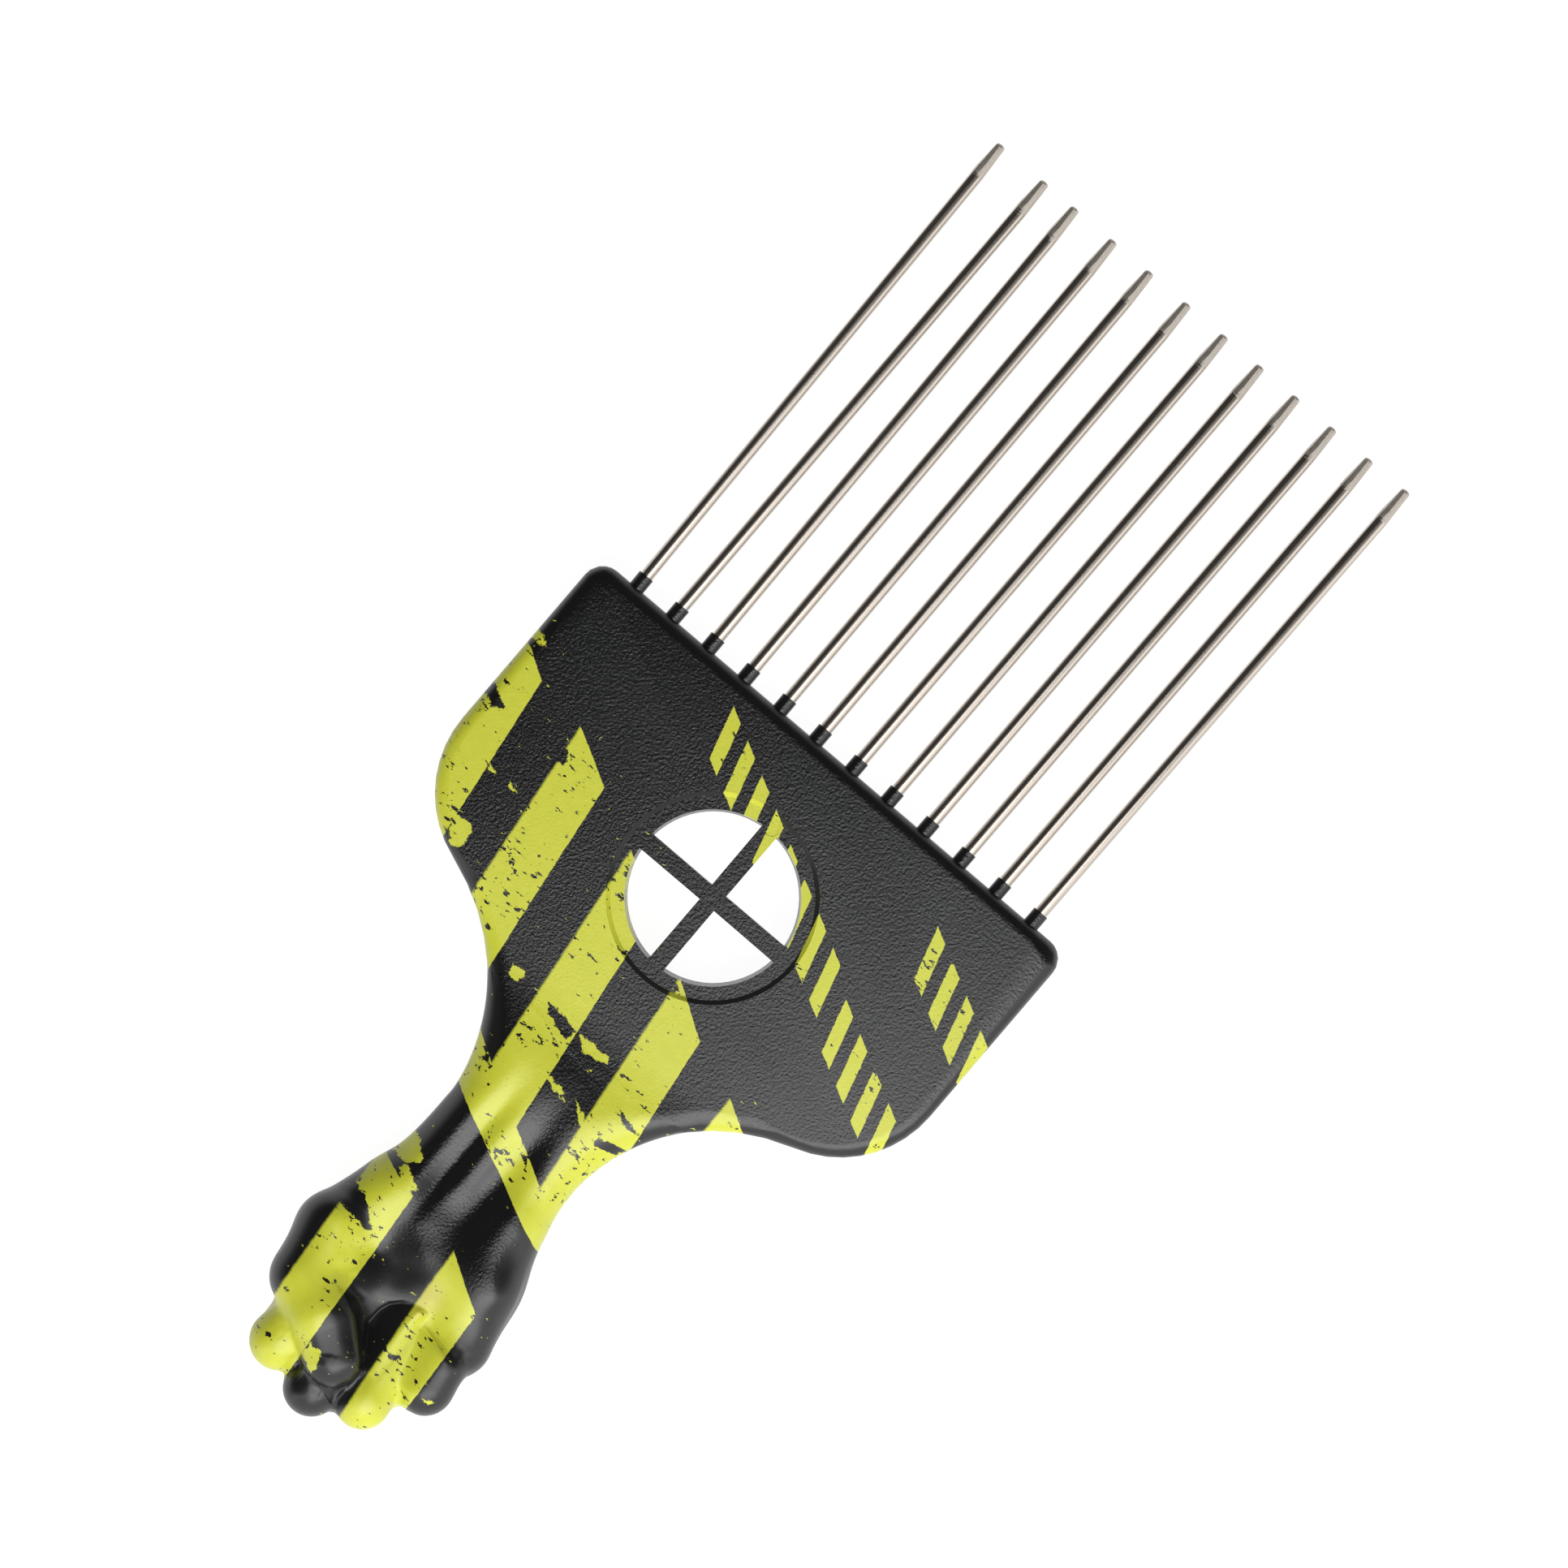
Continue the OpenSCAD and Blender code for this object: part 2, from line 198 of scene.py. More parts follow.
def makeWireTooth():
    shape = toothShape
    low, mid, high = shape["groove"]
    bpy.ops.mesh.primitive_cylinder_add(
        vertices=shape["sides"], radius=shape["wireRadius"], depth=low - shape["rootEnd"],
        location=(0, 0, (low + shape["rootEnd"]) / 2))
    wire = bpy.context.object
    bpy.ops.object.transform_apply(location=True)
    bpy.ops.object.mode_set(mode="EDIT")
    selectFaces(wire, lambda middle, normal: normal.z > shape["upward"])
    grooveShare = shape["grooveRadius"] / shape["wireRadius"]
    growEnd(mid - low, grooveShare)
    growEnd(high - mid, 1 / grooveShare)
    growEnd(shape["reach"] - high, 1)
    for flat in shape["flats"]:
        grindFlat(*flat)
    bpy.ops.mesh.select_mode(type="FACE")  # so that the end's edges stay selected with it
    selectFaces(wire, lambda middle, normal: middle.z > shape["reach"] * shape["tipShare"])
    bpy.ops.mesh.bevel(offset=shape["tipBevel"], segments=shape["tipSteps"], affect="EDGES")
    bpy.ops.mesh.select_mode(type="VERT")
    bpy.ops.object.mode_set(mode="OBJECT")
    bpy.ops.object.shade_smooth_by_angle(angle=math.radians(shape["sharpAngle"]))
    return wire


def steelWire():
    # Drawn stainless wire: a soft bright streak along it, and a point left grey and matt by the grinding belt
    looks = wireLooks
    material, tree = newMaterial("drawnStainlessWire")
    place = placeInMm(tree)
    drawLines = addNode(tree, "Mapping", {"Vector": place, **looks["drawLines"]})
    drawNoise = addNode(tree, "TexNoise", {"Vector": drawLines, **looks["drawNoise"]})
    beltLines = addNode(tree, "Mapping", {"Vector": place, **looks["beltLines"]})
    beltNoise = addNode(tree, "TexNoise", {"Vector": beltLines, **looks["beltNoise"]})
    ragged = addNode(tree, "MapRange", {
        "Value": beltNoise, **fromTo(noiseSpan, (-looks["raggedness"], looks["raggedness"]))})
    along = addNode(tree, "SeparateXYZ", {0: place}).outputs["Y"]
    along = addNode(tree, "Math", {0: along, 1: ragged}, operation="ADD")
    ground = addNode(tree, "MapRange", {"Value": along, **fromTo(looks["groundFrom"])})
    color = addNode(tree, "Mix", {
        "Factor": ground, "A": hexColor(looks["wireColor"]), "B": hexColor(looks["beltColor"]),
    }, data_type="RGBA")
    wireRough = addNode(tree, "MapRange", {"Value": drawNoise, **fromTo(noiseSpan, looks["wireRough"])})
    beltRough = addNode(tree, "MapRange", {"Value": beltNoise, **fromTo(noiseSpan, looks["beltRough"])})
    rough = addNode(tree, "Mix", {"Factor": ground, "A": wireRough, "B": beltRough})
    height = addNode(tree, "Mix", {"Factor": ground, "A": drawNoise, "B": beltNoise})
    strength = addNode(tree, "MapRange", {"Value": ground, **fromTo((0, 1), (0, looks["beltBump"]))})
    bump = addNode(tree, "Bump", {"Height": height, "Strength": strength, "Distance": looks["bumpHeight"]})
    shader = addNode(tree, "BsdfPrincipled", {
        "Base Color": color, "Metallic": 1, "Roughness": rough, "Normal": bump})
    addNode(tree, "OutputMaterial", {"Surface": shader})
    return material


toothNames = sorted(name for name in cadNodes if name.startswith("tooth"))
wireTooth = makeWireTooth()
wireTooth.data.materials.append(steelWire())
for number, cadName in enumerate(toothNames, 1):
    corners = [v.co for v in cadNodes[cadName].data.vertices]
    low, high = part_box(cadName)
    ends = []
    for end in (low.y, high.y):  # the middle of the wire at either end
        near = [co for co in corners if abs(co.y - end) < toothShape["endSlice"]]
        ends.append(sum(near, Vector()) / len(near))
    tooth = wireTooth.copy()
    tooth.data = wireTooth.data.copy()
    tooth.name = "wireTooth%02d" % number
    bpy.context.scene.collection.objects.link(tooth)
    activate(tooth)
    lean = math.atan2(ends[1].x - ends[0].x, ends[1].y - ends[0].y)
    tooth.rotation_euler = (math.radians(-90), 0, -lean)
    along = Vector((math.sin(lean), math.cos(lean), 0))
    middle = (low + high) / 2
    tipPlace = Vector((ends[1].x, high.y, middle.z))
    tooth.location = tipPlace - along * toothShape["reach"]
    bpy.ops.object.transform_apply(location=True, rotation=True)
    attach(tooth, "root")
    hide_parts(cadName)
bpy.data.objects.remove(wireTooth)
print("teeth done:", len(toothNames))


# Handle: the moulding's own mesh, merged, rounded off over the hand and shaded smooth
handleShape = {
    "mergeGap": mm(0.002),
    "quadsFrom": mm(-12),
    "quadAngle": 50,
    "quadShape": 70,
    "refineFrom": mm(-30),
    "refineCuts": 3,
    "sharpAngle": 38,
    "windowMiddle": (0, mm(-6.407)),
    # rims pushed out on the front: radius from the window's middle, height, how far
    "recessSlope": (mm(12.65), mm(11.053), mm(0.55)),
    "windowDraft": (mm(10.65), mm(10.503), mm(0.3)),
    "rimWithin": (mm(0.03), mm(0.02)),  # how near a corner of the rim is, in radius and in height
}

# Tendons of the inner wrist, in mm: heights across it, the stretches along it over which they rise and fall,
# and the heights of the front over which all relief of the hand sets in
wristRelief = {
    "profile": ((-9, 0), (-6.8, 0.3), (-3, -0.12), (-1.2, 0.1), (2.3, -0.4), (8.8, 0.2), (12.5, 0)),
    "rise": (-41, -47),
    "fall": (-56, -63),
    "level": (10, 11),
}

# Edge of the thumb over the hollow of the palm, in mm: lifted to a rim, with the thumb's face sloping away
thumbEdge = {
    "points": ((-2.6, -72.3), (0, -73.4), (2, -75.1), (3.6, -77), (4.4, -79), (4.8, -81)),
    "rim": 0.42,
    "rimWidth": 0.9,
    "slope": 0.2,
    "slopeFrom": (0, 3.6),
    "slopeTo": (3.4, 6.2),
    "fadeIn": (0, 3.2),
    "fadeOut": (6.8, 10.5),
    "across": (-12, 9),  # where this edge and the hollow beside it act
    "along": (-84, -66),
}

# Hollow between thumb, palm and fingers, in mm: its floor is the flank of the curled fingers
palmHollow = {
    "outline": ((1.3, -73.6), (1.4, -71.3), (1.85, -69.9), (3, -68.6), (4.5, -67.9), (7, -67.6), (7, -78),
                (4.3, -78), (3.7, -76.8), (2.3, -74.9)),
    "wall": 0.4,
    "floorLevel": 12.1,
    "floorFrom": (1.2, -68),
    "floorRise": (0.5, 0.12),  # to the right, and towards the end of the fist
    "rightFade": (5.2, 7),
}

# Soft mounds and dents of the palm, in mm: middle, width, height
palmMounds = (((2.1, -62.8), 2.8, 0.45), ((4.4, -64.4), 2.2, 0.4), ((-0.7, -56.6), 2.4, -0.5),
              ((0.8, -66.8), 3, -0.85), ((12.2, -60.6), 3.3, 0.9), ((-2.7, -63.6), 5, -0.82))


def mergedHandle():
    # the moulding's mesh as one skin, with quads over the hand cut finer
    shape = handleShape
    handle = bpy.data.objects.new("mouldedHandle", cadNodes["handle"].data.copy())
    bpy.context.scene.collection.objects.link(handle)
    activate(handle)
    bpy.ops.object.mode_set(mode="EDIT")
    bpy.ops.mesh.customdata_custom_splitnormals_clear()
    bpy.ops.mesh.select_all(action="SELECT")
    bpy.ops.mesh.remove_doubles(threshold=shape["mergeGap"])
    selectFaces(handle, lambda middle, normal: middle.y < shape["quadsFrom"])
    bpy.ops.mesh.tris_convert_to_quads(
        face_threshold=math.radians(shape["quadAngle"]), shape_threshold=math.radians(shape["quadShape"]))
    selectFaces(handle, lambda middle, normal: middle.y < shape["refineFrom"])
    bpy.ops.mesh.subdivide(number_cuts=shape["refineCuts"], smoothness=1)
    bpy.ops.mesh.select_all(action="DESELECT")
    bpy.ops.object.mode_set(mode="OBJECT")
    bpy.ops.object.shade_smooth_by_angle(angle=math.radians(shape["sharpAngle"]), keep_sharp_edges=False)
    weighted = handle.modifiers.new("flatFacesStayFlat", "WEIGHTED_NORMAL")
    weighted.keep_sharp = True
    bpy.ops.object.modifier_apply(modifier=weighted.name)
    return handle


def smoothStep(value, start, end):
    # 0 before the start, 1 after the end, and soft between
    share = min(max((value - start) / (end - start), 0), 1)
    return share * share * (3 - 2 * share)


def tendonLift(x, y):
    # a soft curve through the profile's points, fading out along the wrist
    lift = 0
    for (xa, za), (xb, zb) in zip(wristRelief["profile"], wristRelief["profile"][1:]):
        if xa <= x < xb:
            lift = za + (zb - za) * smoothStep(x, xa, xb)
    return lift * smoothStep(y, *wristRelief["rise"]) * (1 - smoothStep(y, *wristRelief["fall"]))


def moundLift(x, y):
    return sum(height * math.exp(-((x - middle[0]) ** 2 + (y - middle[1]) ** 2) / width ** 2)
               for middle, width, height in palmMounds)


def nearestOn(points, place):
    # distance to a line of points, on which side of it (left is positive), and how far along it
    reached, best = 0, None
    for a, b in zip(points, points[1:]):
        a, b = Vector(a), Vector(b)
        along = (b - a).normalized()
        share = min(max((place - a).dot(along), 0), (b - a).length)
        away = place - a - along * share
        if best is None or away.length < best[0]:
            best = (away.length, along.cross(away), reached + share)
        reached += (b - a).length
    return best


def thumbLift(x, y):
    far, side, along = nearestOn(thumbEdge["points"], Vector((x, y)))
    fade = smoothStep(along, *thumbEdge["fadeIn"]) * (1 - smoothStep(along, *thumbEdge["fadeOut"]))
    lift = thumbEdge["rim"] * math.exp(-(far / thumbEdge["rimWidth"]) ** 2)
    if side < 0:
        lift -= thumbEdge["slope"] * smoothStep(far, *thumbEdge["slopeFrom"]) * (
            1 - smoothStep(far, *thumbEdge["slopeTo"]))
    return lift * fade


def hollowShare(x, y):
    # 1 well inside the hollow's outline, 0 outside
    outline = palmHollow["outline"]
    inside = False
    for (xa, ya), (xb, yb) in zip(outline, outline[1:] + outline[:1]):
        if (ya > y) != (yb > y) and x < xa + (xb - xa) * (y - ya) / (yb - ya):
            inside = not inside
    if not inside:
        return 0
    far = nearestOn(outline + outline[:1], Vector((x, y)))[0]
    return smoothStep(far, 0, palmHollow["wall"]) * (1 - smoothStep(x, *palmHollow["rightFade"]))


def hollowFloor(x, y):
    (fromX, fromY), (riseX, riseY) = palmHollow["floorFrom"], palmHollow["floorRise"]
    return palmHollow["floorLevel"] + (x - fromX) * riseX + (fromY - y) * riseY


def handHeight(x, y, z):
    # the height that a place on the front of the hand gets, in mm
    z += (tendonLift(x, y) + moundLift(x, y)) * smoothStep(z, *wristRelief["level"])
    (left, right), (low, high) = thumbEdge["across"], thumbEdge["along"]
    if left < x < right and low < y < high:
        z += thumbLift(x, y)
        z += hollowShare(x, y) * (hollowFloor(x, y) - z)
    return z


handle = mergedHandle()
outTolerance, upTolerance = handleShape["rimWithin"]
for vertex in handle.data.vertices:
    x, y, z = vertex.co * 1000
    if z > wristRelief["level"][0]:
        vertex.co.z = mm(handHeight(x, y, z))
    for radius, level, push in (handleShape["recessSlope"], handleShape["windowDraft"]):
        away = vertex.co.xy - Vector(handleShape["windowMiddle"])
        if abs(away.length - radius) < outTolerance and abs(vertex.co.z - level) < upTolerance:
            vertex.co.xy += away.normalized() * push
low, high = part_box("handle")
for vertex in handle.data.vertices:  # the rounding must not reach past the moulding's own box
    vertex.co = [min(max(part, a), b) for part, a, b in zip(vertex.co, low, high)]
print("handle shaped:", len(handle.data.polygons), "faces")


# The printed film, in mm: bars and patches of print, and bites where it has come off
filmPrint = {
    "bars": [
        [(-39, 3.2), (-36.9, 2.4), (-33.4, 0.2), (-29.6, -27), (-39, -27)],
        [(-26.1, -0.9), (-19, -4.7), (-15.2, -32.6), (-22.1, -32.6)],
        [(-11.5, -8.5), (-4.4, -12.2), (-0.1, -43.6), (-7, -43.6)],
        [(3.3, -16.5), (10.3, -20.9), (14.6, -52), (12, -53.7), (7, -47.3)],
        [(-12, -37), (14, -51), (14, -54.7), (-12, -42.7)],
        [(17.7, -23.8), (23, -26.9), (21, -31), (17.9, -31)],
        [(-11.3, -56.2), (-4.2, -58), (-1.4, -89), (-8.8, -89), (-10.4, -66)],
        [(3.7, -59.7), (11.15, -64.1), (12.2, -80), (11.6, -89), (5.9, -89), (4.4, -66)],
    ],
    "patches": [
        [(-39, 5.1), (-37, 4.8), (-35.7, 4), (-36.6, 3.4), (-39, 3.5)],
        [(-30.9, -18.9), (-28.1, -19), (-27.6, -21.9), (-28.8, -22.4), (-30.3, -21)],
        [(-31.7, -11.5), (-30.2, -12.2), (-31.4, -12.4)],
        [(-28.4, -11.6), (-26.6, -12.2), (-28, -12.4)],
        [(-13.5, -28.6), (-11.6, -28.2), (-11.7, -29.9), (-12.8, -29.9)],
        [(-2.2, -29.4), (0.3, -29.6), (2.6, -29.4), (3.5, -30.2), (2.2, -30.9), (0, -31.1)],
        [(-1.4, -36.1), (1.2, -36.1), (3.1, -37.7), (1, -37.1), (-1.2, -36.8)],
        [(3.2, -36), (6.3, -37.6), (6.2, -38.5), (5.2, -37.9)],
        [(-10, -52), (-8.7, -52.1), (-6.1, -53.8), (-6.1, -54.3), (-8, -55.6), (-10, -55.6)],
        [(-7.4, -55.5), (-4.4, -57), (-4.8, -58), (-5.7, -57.9), (-7.9, -56.5)],
        [(-2.2, -79), (0.3, -79.1), (0.4, -80.5), (1.2, -81.8), (0.3, -82.1), (-2, -81)],
        [(12.8, -75.9), (14.1, -75.3), (13.6, -76.3)],
    ],
    "bites": [
        [(-39, -3.3), (-37.5, -3.8), (-34.5, -5.5), (-36, -6.1), (-39, -5)],
        [(-27, -4), (-25.4, -4.2), (-24.4, -5.4), (-24.9, -6.1), (-27, -6.2)],
        [(-7.2, -29.2), (-5, -29.3), (-2, -29.9), (-2.5, -31.3), (-4.5, -30.9), (-6.3, -30.2)],
        [(8, -33.3), (10.5, -34.1), (12.3, -34.5), (10.3, -34.9), (8.6, -34.2)],
        [(8.2, -38.6), (9.5, -37.6), (12.4, -37.1), (11.4, -38.4), (8.4, -39)],
        [(-13, -61.1), (-8.6, -61.7), (-5.2, -64.5), (-5.8, -64.9), (-8.2, -64.5), (-13, -63.8)],
    ],
    "hardEdge": 0.1,
    "softEdge": 0.45,  # for the bars' left edges
    "leftFacing": 0.9,
}

# Short slanted dashes like those of warning tape, in rows across the front of the plate
tapeDashes = {
    "rows": [((-11.4, 9.3), 8), ((25.4, 5), 4), ((22.6, -9.2), 4)],
    "step": (4.1, -2.1),
    "halfAlong": (1.05, -0.54),
    "halfUp": (-0.95, 3.4),
    "frontFrom": (8, 9),
    "farOutside": -40,  # what a place behind the front counts as
}

# Wear of the film: places are in mm, so a pattern's scale counts its spots in a millimetre
filmWear = {
    "tearNoise": {"Scale": 1.1, "Detail": 6, "Roughness": 0.72},
    "tearShift": 0.36,
    "wildShares": (5.5, 4.5, 0),
    "spotNoise": {"Scale": 1, "Detail": 4, "Roughness": 0.62},
    "chipMap": {"Scale": (0.62, 1.25, 1), "Rotation": (0, 0, 0.2)},
    "chipLimits": (0.69, 0.582),
    "crowdNoise": {"Scale": 0.13, "Detail": 2},
    "crowdSpan": (0.38, 0.62),
    "fleckMap": {"Scale": (0.7, 1.5, 1), "Location": (37, 11, 5)},
    "fleckLimit": 0.695,
    "fleckReach": 28,  # how far from the bars flecks lie, in widths of a hard edge
    "spotSharpness": 60,
    "edgeSpan": (-0.5, 0.5),
}

# Looks of the plastic and the film, with places in mm again
plasticLooks = {
    "blacks": ("#0F0F10", "#19191A"),
    "yellows": ("#C2C631", "#CDD041"),
    "paintNoise": {"Scale": 0.8, "Detail": 3},
    # painted shade in the palm hollow: a brownish yellow round a point on its wall, how far it reaches and
    # how strong it is
    "paintedShadeColor": "#A98B3C",
    "paintedShadePlace": (5.4, -66.6, 16),
    "paintedShadeReach": (3.6, 0.8),
    "paintedShadeStrength": 1.5,
    "grainNoise": {"Scale": 2.7, "Detail": 3, "Roughness": 0.6},  # 0.4 mm, coarse enough to show
    "grainHeight": mm(0.075),
    "flatSpan": (0.9, 0.985),
    "handSpan": (-66, -57),
    "handGrain": 0.15,  # share of the grain that is left on the fist
    "filmGrain": 0.4,  # share of the grain that shows through the film
    "plasticRough": (0.33, 0.14),  # without and with grain
    "filmRough": 0.34,
    "refraction": 1.53,
}

# Fine raised lines of the hand, in mm: the edge of the thumb and the fold under it
handLines = [
    {"points": thumbEdge["points"] + ((4.8, -83.2),), "halfWidth": 0.28, "height": 0.05},
    {"points": ((-0.9, -82.4), (1.4, -82.2), (3.2, -83.2), (4.6, -83.8)), "halfWidth": 0.25, "height": 0.04},
]
handLinesFrom = (9, 10)


def dashOutlines():
    outlines = []
    (ax, ay), (ux, uy) = tapeDashes["halfAlong"], tapeDashes["halfUp"]
    for (x, y), count in tapeDashes["rows"]:
        for i in range(count):
            cx, cy = x + i * tapeDashes["step"][0], y + i * tapeDashes["step"][1]
            outlines.append([(cx - ax + ux, cy - ay + uy), (cx + ax + ux, cy + ay + uy),
                             (cx + ax - ux, cy + ay - uy), (cx - ax - ux, cy - ay - uy)])
    return outlines


def flattened(tree, place):
    # the place with 1 for its height, so that a dot product with a line gives the distance from the line
    return addNode(tree, "VectorMath", {0: place, 1: (1, 1, 0), 2: (0, 0, 1)}, operation="MULTIPLY_ADD")


def insideOf(tree, flatPlace, outlines, softLeft):
    # how far inside the nearest outline a place lies, in widths of that edge's softness
    depths = []
    for outline in outlines:
        sides = list(zip(outline, outline[1:] + outline[:1]))
        area = sum(a[0] * b[1] - b[0] * a[1] for a, b in sides)
        distances = []
        for a, b in sides:
            nx, ny = (a[1] - b[1], b[0] - a[0]) if area > 0 else (b[1] - a[1], a[0] - b[0])
            length = math.hypot(nx, ny)
            facesLeft = nx / length > filmPrint["leftFacing"]
            soft = filmPrint["softEdge" if softLeft and facesLeft else "hardEdge"]
            nx, ny = nx / length / soft, ny / length / soft
            line = (nx, ny, -(nx * a[0] + ny * a[1]))
            distances.append(addNode(tree, "VectorMath", {0: flatPlace, 1: line}, operation="DOT_PRODUCT"))
        depths.append(combine(tree, "MINIMUM", distances))
    return combine(tree, "MAXIMUM", depths)


def lineHeight(tree, flatPlace, line):
    # the height of a raised line at a place, from the distance to the nearest of its stretches
    gaps = []
    for a, b in zip(line["points"], line["points"][1:]):
        along = Vector((b[0] - a[0], b[1] - a[1], 0))
        away = addNode(tree, "VectorMath", {0: flatPlace, 1: (*a, 1)}, operation="SUBTRACT")
        part = addNode(tree, "VectorMath", {
            0: away, 1: along / along.length_squared}, operation="DOT_PRODUCT")
        part = addNode(tree, "MapRange", {"Value": part})
        foot = addNode(tree, "VectorMath", {0: along, "Scale": part}, operation="SCALE")
        gaps.append(addNode(tree, "VectorMath", {0: away, 1: foot}, operation="DISTANCE"))
    return addNode(tree, "MapRange", {
        "Value": combine(tree, "MINIMUM", gaps), **fromTo((line["halfWidth"], 0), (0, line["height"])),
    }, interpolation_type="SMOOTHSTEP")


def wornFilm(tree, place, level, tearNoise):
    # 1 where the film lies, 0 where the plastic shows
    wear = filmWear

    # torn edges: a place is shifted before its test, by up to 0.2 mm for bars and 1 mm for patches
    tear = addNode(tree, "VectorMath", {
        0: tearNoise.outputs["Color"], 1: (0.5, 0.5, 0.5)}, operation="SUBTRACT")
    tear = addNode(tree, "VectorMath", {0: tear, 1: (wear["tearShift"],) * 3}, operation="MULTIPLY")
    wildTear = addNode(tree, "VectorMath", {0: tear, 1: wear["wildShares"]}, operation="MULTIPLY")
    torn, wild = [
        flattened(tree, addNode(tree, "VectorMath", {0: place, 1: shift}, operation="ADD"))
        for shift in (tear, wildTear)
    ]
    bars = insideOf(tree, torn, filmPrint["bars"], True)
    patches = insideOf(tree, wild, filmPrint["patches"], False)
    bites = insideOf(tree, wild, filmPrint["bites"], False)
    dashes = insideOf(tree, torn, dashOutlines(), False)
    onBack = addNode(tree, "MapRange", {
        "Value": level, **fromTo(tapeDashes["frontFrom"], (tapeDashes["farOutside"], 0))})
    dashes = addNode(tree, "Math", {0: dashes, 1: onBack}, operation="ADD")
    notBitten = addNode(tree, "Math", {0: bites, 1: -1}, operation="MULTIPLY")

    # chips out of the film and stray flecks of it, both drawn out across the pick
    chipMap = addNode(tree, "Mapping", {"Vector": place, **wear["chipMap"]})
    chipNoise = addNode(tree, "TexNoise", {"Vector": chipMap, **wear["spotNoise"]})
    crowd = addNode(tree, "TexNoise", {"Vector": place, **wear["crowdNoise"]})
    chipLimit = addNode(tree, "MapRange", {"Value": crowd, **fromTo(wear["crowdSpan"], wear["chipLimits"])})
    chips = addNode(tree, "Math", {0: chipLimit, 1: chipNoise}, operation="SUBTRACT")
    chips = addNode(tree, "Math", {0: chips, 1: wear["spotSharpness"]}, operation="MULTIPLY")
    fleckMap = addNode(tree, "Mapping", {"Vector": place, **wear["fleckMap"]})
    fleckNoise = addNode(tree, "TexNoise", {"Vector": fleckMap, **wear["spotNoise"]})
    flecks = addNode(tree, "Math", {0: fleckNoise, 1: wear["fleckLimit"]}, operation="SUBTRACT")
    flecks = addNode(tree, "Math", {0: flecks, 1: wear["spotSharpness"]}, operation="MULTIPLY")
    nearby = addNode(tree, "Math", {0: bars, 1: wear["fleckReach"]}, operation="ADD")
    flecks = addNode(tree, "Math", {0: flecks, 1: nearby}, operation="MINIMUM")

    film = combine(tree, "MAXIMUM", [bars, patches, dashes])
    film = combine(tree, "MINIMUM", [film, notBitten, chips])
    film = addNode(tree, "Math", {0: film, 1: flecks}, operation="MAXIMUM")
    return addNode(tree, "MapRange", {
        "Value": film, **fromTo(wear["edgeSpan"])}, interpolation_type="SMOOTHSTEP")


def surfaceColor(tree, place, film, grainNoise, tearNoise):
    # black under yellow-green, with painted shade: the yellow turned brownish round one point on the wall of
    # the palm hollow
    looks = plasticLooks
    paintNoise = addNode(tree, "TexNoise", {"Vector": place, **looks["paintNoise"]})
    black, yellow = [
        addNode(tree, "Mix", {
            "Factor": noise, "A": hexColor(colors[0]), "B": hexColor(colors[1])}, data_type="RGBA")
        for noise, colors in ((grainNoise, looks["blacks"]), (paintNoise, looks["yellows"]))
    ]
    # painted shade: the yellow darkens to brownish near a point on the wall of the palm hollow, broken up by
    # noise
    awayFromShade = addNode(tree, "VectorMath", {0: place, 1: looks["paintedShadePlace"]}, operation="DISTANCE")
    paintedShade = addNode(tree, "MapRange", {
        "Value": awayFromShade, **fromTo(looks["paintedShadeReach"], (0, looks["paintedShadeStrength"]))})
    paintedShade = addNode(tree, "Math", {0: paintedShade, 1: tearNoise}, operation="MULTIPLY", use_clamp=True)
    yellow = addNode(tree, "Mix", {
        "Factor": paintedShade, "A": yellow, "B": hexColor(looks["paintedShadeColor"])}, data_type="RGBA")
    return addNode(tree, "Mix", {"Factor": film, "A": black, "B": yellow}, data_type="RGBA")


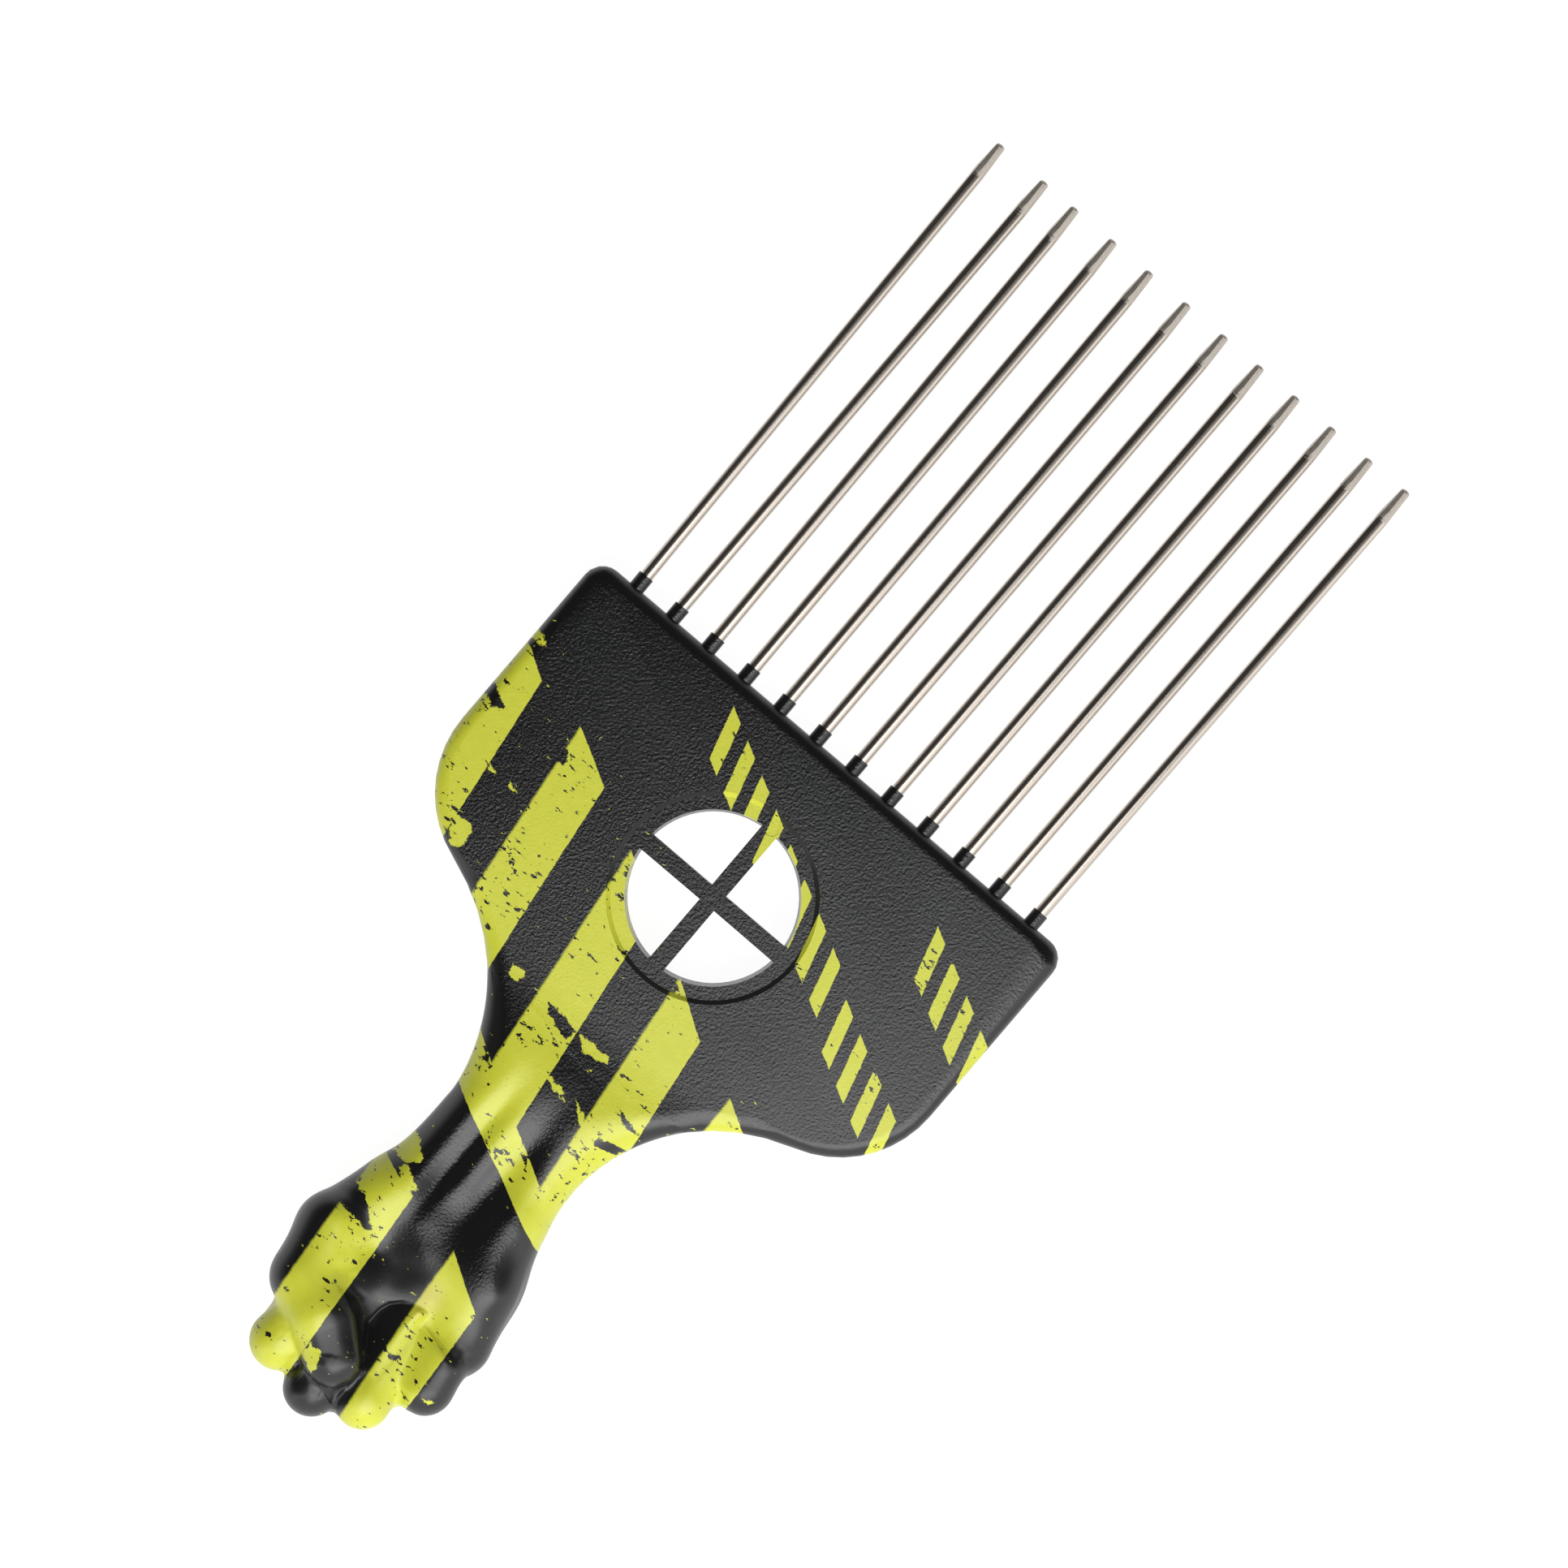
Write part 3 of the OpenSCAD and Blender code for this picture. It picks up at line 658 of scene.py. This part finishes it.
def printedPlastic():
    # Black ABS with the fine spark-eroded grain of its mould, under a dipped and worn yellow-green film
    looks = plasticLooks
    material, tree = newMaterial("grainedAbsWithDippedFilm")
    place = placeInMm(tree)
    split = addNode(tree, "SeparateXYZ", {0: place})
    tearNoise = addNode(tree, "TexNoise", {"Vector": place, **filmWear["tearNoise"]})
    grainNoise = addNode(tree, "TexNoise", {"Vector": place, **looks["grainNoise"]})
    film = wornFilm(tree, place, split.outputs["Z"], tearNoise)
    color = surfaceColor(tree, place, film, grainNoise, tearNoise)

    # grain on what faces up or down, none on rounded edges and little on the fingers
    facing = addNode(tree, "SeparateXYZ", {0: addNode(tree, "NewGeometry").outputs["Normal"]})
    upright = addNode(tree, "Math", {0: facing.outputs["Z"]}, operation="ABSOLUTE")
    flatness = addNode(tree, "MapRange", {
        "Value": upright, **fromTo(looks["flatSpan"])}, interpolation_type="SMOOTHSTEP")
    aboveHand = addNode(tree, "MapRange", {
        "Value": split.outputs["Y"], **fromTo(looks["handSpan"], (looks["handGrain"], 1)),
    }, interpolation_type="SMOOTHSTEP")
    grain = addNode(tree, "Math", {0: flatness, 1: aboveHand}, operation="MULTIPLY")
    grainRough = addNode(tree, "MapRange", {"Value": grain, **fromTo((0, 1), looks["plasticRough"])})
    rough = addNode(tree, "Mix", {"Factor": film, "A": grainRough, "B": looks["filmRough"]})
    cover = addNode(tree, "MapRange", {"Value": film, **fromTo((0, 1), (1, looks["filmGrain"]))})
    strength = addNode(tree, "Math", {0: grain, 1: cover}, operation="MULTIPLY")

    flatPlace = flattened(tree, place)
    raised = combine(tree, "MAXIMUM", [lineHeight(tree, flatPlace, line) for line in handLines])
    onFront = addNode(tree, "MapRange", {"Value": split.outputs["Z"], **fromTo(handLinesFrom)})
    raised = addNode(tree, "Math", {0: raised, 1: onFront}, operation="MULTIPLY")
    lines = addNode(tree, "Bump", {"Height": raised, "Strength": 1, "Distance": mm(1)})
    bump = addNode(tree, "Bump", {
        "Height": grainNoise, "Strength": strength, "Distance": looks["grainHeight"], "Normal": lines})
    shader = addNode(tree, "BsdfPrincipled", {
        "Base Color": color, "Roughness": rough, "IOR": looks["refraction"], "Normal": bump})
    addNode(tree, "OutputMaterial", {"Surface": shader})
    return material


handle.data.materials.clear()
handle.data.materials.append(printedPlastic())
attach(handle, "root")
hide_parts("handle")
print("handle dressed")


# Studio: white sweep, one soft box towards the picture's lower side, and a white wall there
studio = {
    "floorSize": 6,
    "floorColor": "#E6E6E6",
    "shadowGrey": 0.2,
    "paperGlow": 0.95,
    "boxPlace": (0.109, -0.0965, 0.246),
    "boxAim": (-0.015, -0.027, 0),
    "boxSize": (0.258, 0.27),
    "boxPower": 0.635,
    "front": (0.65, -0.76, 0),
    # spans of how far a direction points to the front, or up, with the wall's brightness at either end
    "wallBegins": ((0.21, 0.43), (0.045, 1.9)),
    "wallDims": ((0.46, 0.6), (1, 0.62)),
    "horizon": ((0.4, 0.05), (0, 0.35)),
}


def sweepPaper():
    # White sweep paper: looks nearly white with soft shadows, and lights the object as plain pale paper
    material, tree = newMaterial("whiteSweepPaper")
    rays = addNode(tree, "LightPath")
    seen = combine(tree, "MAXIMUM", [
        rays.outputs["Is %s Ray" % kind] for kind in ("Camera", "Glossy", "Transmission")])
    paper = addNode(tree, "BsdfDiffuse", {"Color": hexColor(studio["floorColor"])})
    shadowPaper = addNode(tree, "BsdfDiffuse", {"Color": (studio["shadowGrey"],) * 3 + (1,)})
    glow = addNode(tree, "Emission", {"Color": white, "Strength": studio["paperGlow"]})
    whitePaper = addNode(tree, "AddShader", {0: shadowPaper, 1: glow})
    shader = addNode(tree, "MixShader", {0: seen, 1: paper, 2: whitePaper})
    addNode(tree, "OutputMaterial", {"Surface": shader})
    return material


def litRoom():
    # a dark room with a wall that is brightest in its middle, and a dim band round the horizon
    world = bpy.data.worlds.new("studioRoom")
    world.use_nodes = True
    tree = world.node_tree
    tree.nodes.clear()
    direction = addNode(tree, "TexCoord").outputs["Generated"]
    height = addNode(tree, "SeparateXYZ", {0: direction}).outputs["Z"]
    frontness = addNode(tree, "VectorMath", {0: direction, 1: studio["front"]}, operation="DOT_PRODUCT")
    begins, dims, low = [
        addNode(tree, "MapRange", {"Value": value, **fromTo(*studio[name])}, interpolation_type="SMOOTHSTEP")
        for name, value in (("wallBegins", frontness), ("wallDims", frontness), ("horizon", height))
    ]
    wall = addNode(tree, "Math", {0: begins, 1: dims}, operation="MULTIPLY")
    walls = addNode(tree, "Math", {0: wall, 1: low}, operation="MAXIMUM")
    room = addNode(tree, "Background", {"Color": white, "Strength": walls})
    backdrop = addNode(tree, "Background", {"Color": white, "Strength": 1})
    cameraRay = addNode(tree, "LightPath").outputs["Is Camera Ray"]
    mixed = addNode(tree, "MixShader", {0: cameraRay, 1: room, 2: backdrop})
    addNode(tree, "OutputWorld", {"Surface": mixed})
    return world


bpy.ops.mesh.primitive_plane_add(size=studio["floorSize"], location=(0, 0, cadBox[0].z))
floor = bpy.context.object
floor.name = "paleFloor"
floor.data.materials.append(sweepPaper())

light = bpy.data.lights.new("frontSoftBox", "AREA")
light.shape = "RECTANGLE"
light.size, light.size_y = studio["boxSize"]
light.energy = studio["boxPower"]
lamp = bpy.data.objects.new("frontSoftBox", light)
bpy.context.scene.collection.objects.link(lamp)
lamp.location = studio["boxPlace"]
lamp.rotation_euler = (Vector(studio["boxAim"]) - lamp.location).to_track_quat("-Z", "Y").to_euler()

bpy.context.scene.world = litRoom()
bpy.context.scene.view_settings.view_transform = "Standard"
print("studio lit")
